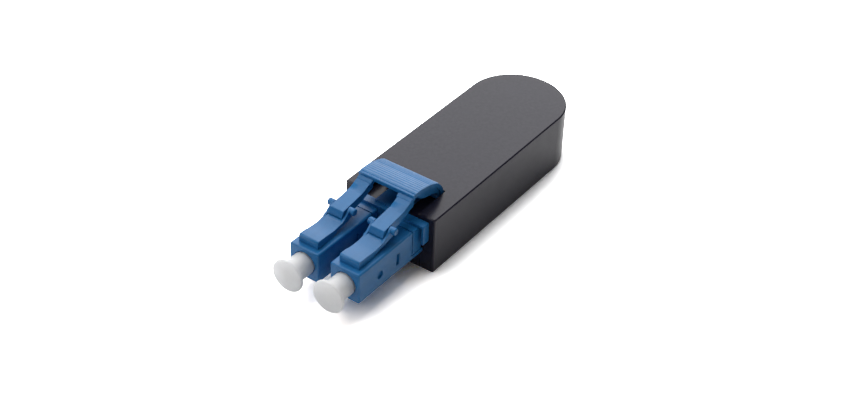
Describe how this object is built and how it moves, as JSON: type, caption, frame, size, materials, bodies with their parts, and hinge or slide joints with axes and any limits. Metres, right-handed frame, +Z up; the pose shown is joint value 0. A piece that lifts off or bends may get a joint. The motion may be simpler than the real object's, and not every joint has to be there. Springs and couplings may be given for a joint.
{
  "type": "fiber loopback module",
  "caption": "Fibre loopback: stadium-shaped housing with square latching plugs side by side, a ridged trigger over the latches and round push-on dust caps on the ferrules.",
  "frame": {"origin": "midway between the ferrule axes, in the plane of the plugs' front faces", "axes": "+Y runs back into the housing, so the ferrules point along -Y; +Z is up, away from the flat underside; +X is the right plug seen from the front"},
  "size_m": [0.0138, 0.052, 0.0114],
  "materials": {
    "housing_black": "fine satin moulding, black",
    "plug_blue": "satin moulding, blue",
    "cap_white": "soft satin, slightly translucent white",
    "ceramic_white": "polished opaque ceramic",
    "flange_metal": "nickel plated",
    "spring_steel": "drawn wire",
    "buffer_yellow": "smooth extruded buffer"
  },
  "bodies": {
    "housing": {"upper_shell": "housing_black", "base_cover": "housing_black", "fibre_loop": "buffer_yellow", "duplex_clip": "plug_blue", "plug_body_left": "plug_blue", "plug_body_right": "plug_blue", "rear_body_left": "plug_blue", "rear_body_right": "plug_blue", "ferrule_spring_left": "spring_steel", "ferrule_spring_right": "spring_steel"},
    "trigger": {"trigger": "plug_blue"},
    "latch_left": {"latch_left": "plug_blue"},
    "latch_right": {"latch_right": "plug_blue"},
    "ferrule_left": {"ferrule_left": "ceramic_white", "ferrule_holder_left": "flange_metal"},
    "ferrule_right": {"ferrule_right": "ceramic_white", "ferrule_holder_right": "flange_metal"},
    "dust_cap_left": {"dust_cap_left": "cap_white"},
    "dust_cap_right": {"dust_cap_right": "cap_white"}
  },
  "joints": [
    {"name": "trigger_press", "type": "hinge", "parent": "housing", "child": "trigger", "pos_m": [0, 0.01835, 0.00255], "axis": [1, 0, 0], "range_deg": [0, 2.6], "stiffness_Nm_per_rad": 0.01},
    {"name": "latch_flex_left", "type": "hinge", "parent": "housing", "child": "latch_left", "pos_m": [-0.00313, 0.00375, 0.00265], "axis": [1, 0, 0], "range_deg": [-13.3, 0], "stiffness_Nm_per_rad": 0.0005},
    {"name": "latch_flex_right", "type": "hinge", "parent": "housing", "child": "latch_right", "pos_m": [0.00313, 0.00375, 0.00265], "axis": [1, 0, 0], "range_deg": [-13.3, 0], "stiffness_Nm_per_rad": 0.0005},
    {"name": "ferrule_float_left", "type": "slide", "parent": "housing", "child": "ferrule_left", "axis": [0, 1, 0], "range_m": [0, 0.0006], "stiffness_N_per_m": 800, "deforming": ["ferrule_spring_left"]},
    {"name": "ferrule_float_right", "type": "slide", "parent": "housing", "child": "ferrule_right", "axis": [0, 1, 0], "range_m": [0, 0.0006], "stiffness_N_per_m": 800, "deforming": ["ferrule_spring_right"]},
    {"name": "cap_pull_left", "type": "slide", "parent": "housing", "child": "dust_cap_left", "axis": [0, -1, 0], "range_m": [0, 0.005]},
    {"name": "cap_pull_right", "type": "slide", "parent": "housing", "child": "dust_cap_right", "axis": [0, -1, 0], "range_m": [0, 0.005]}
  ],
  "couplings": [
    {"joint": "latch_flex_left", "follows": "trigger_press", "ratio": -5.1},
    {"joint": "latch_flex_right", "follows": "trigger_press", "ratio": -5.1}
  ]
}
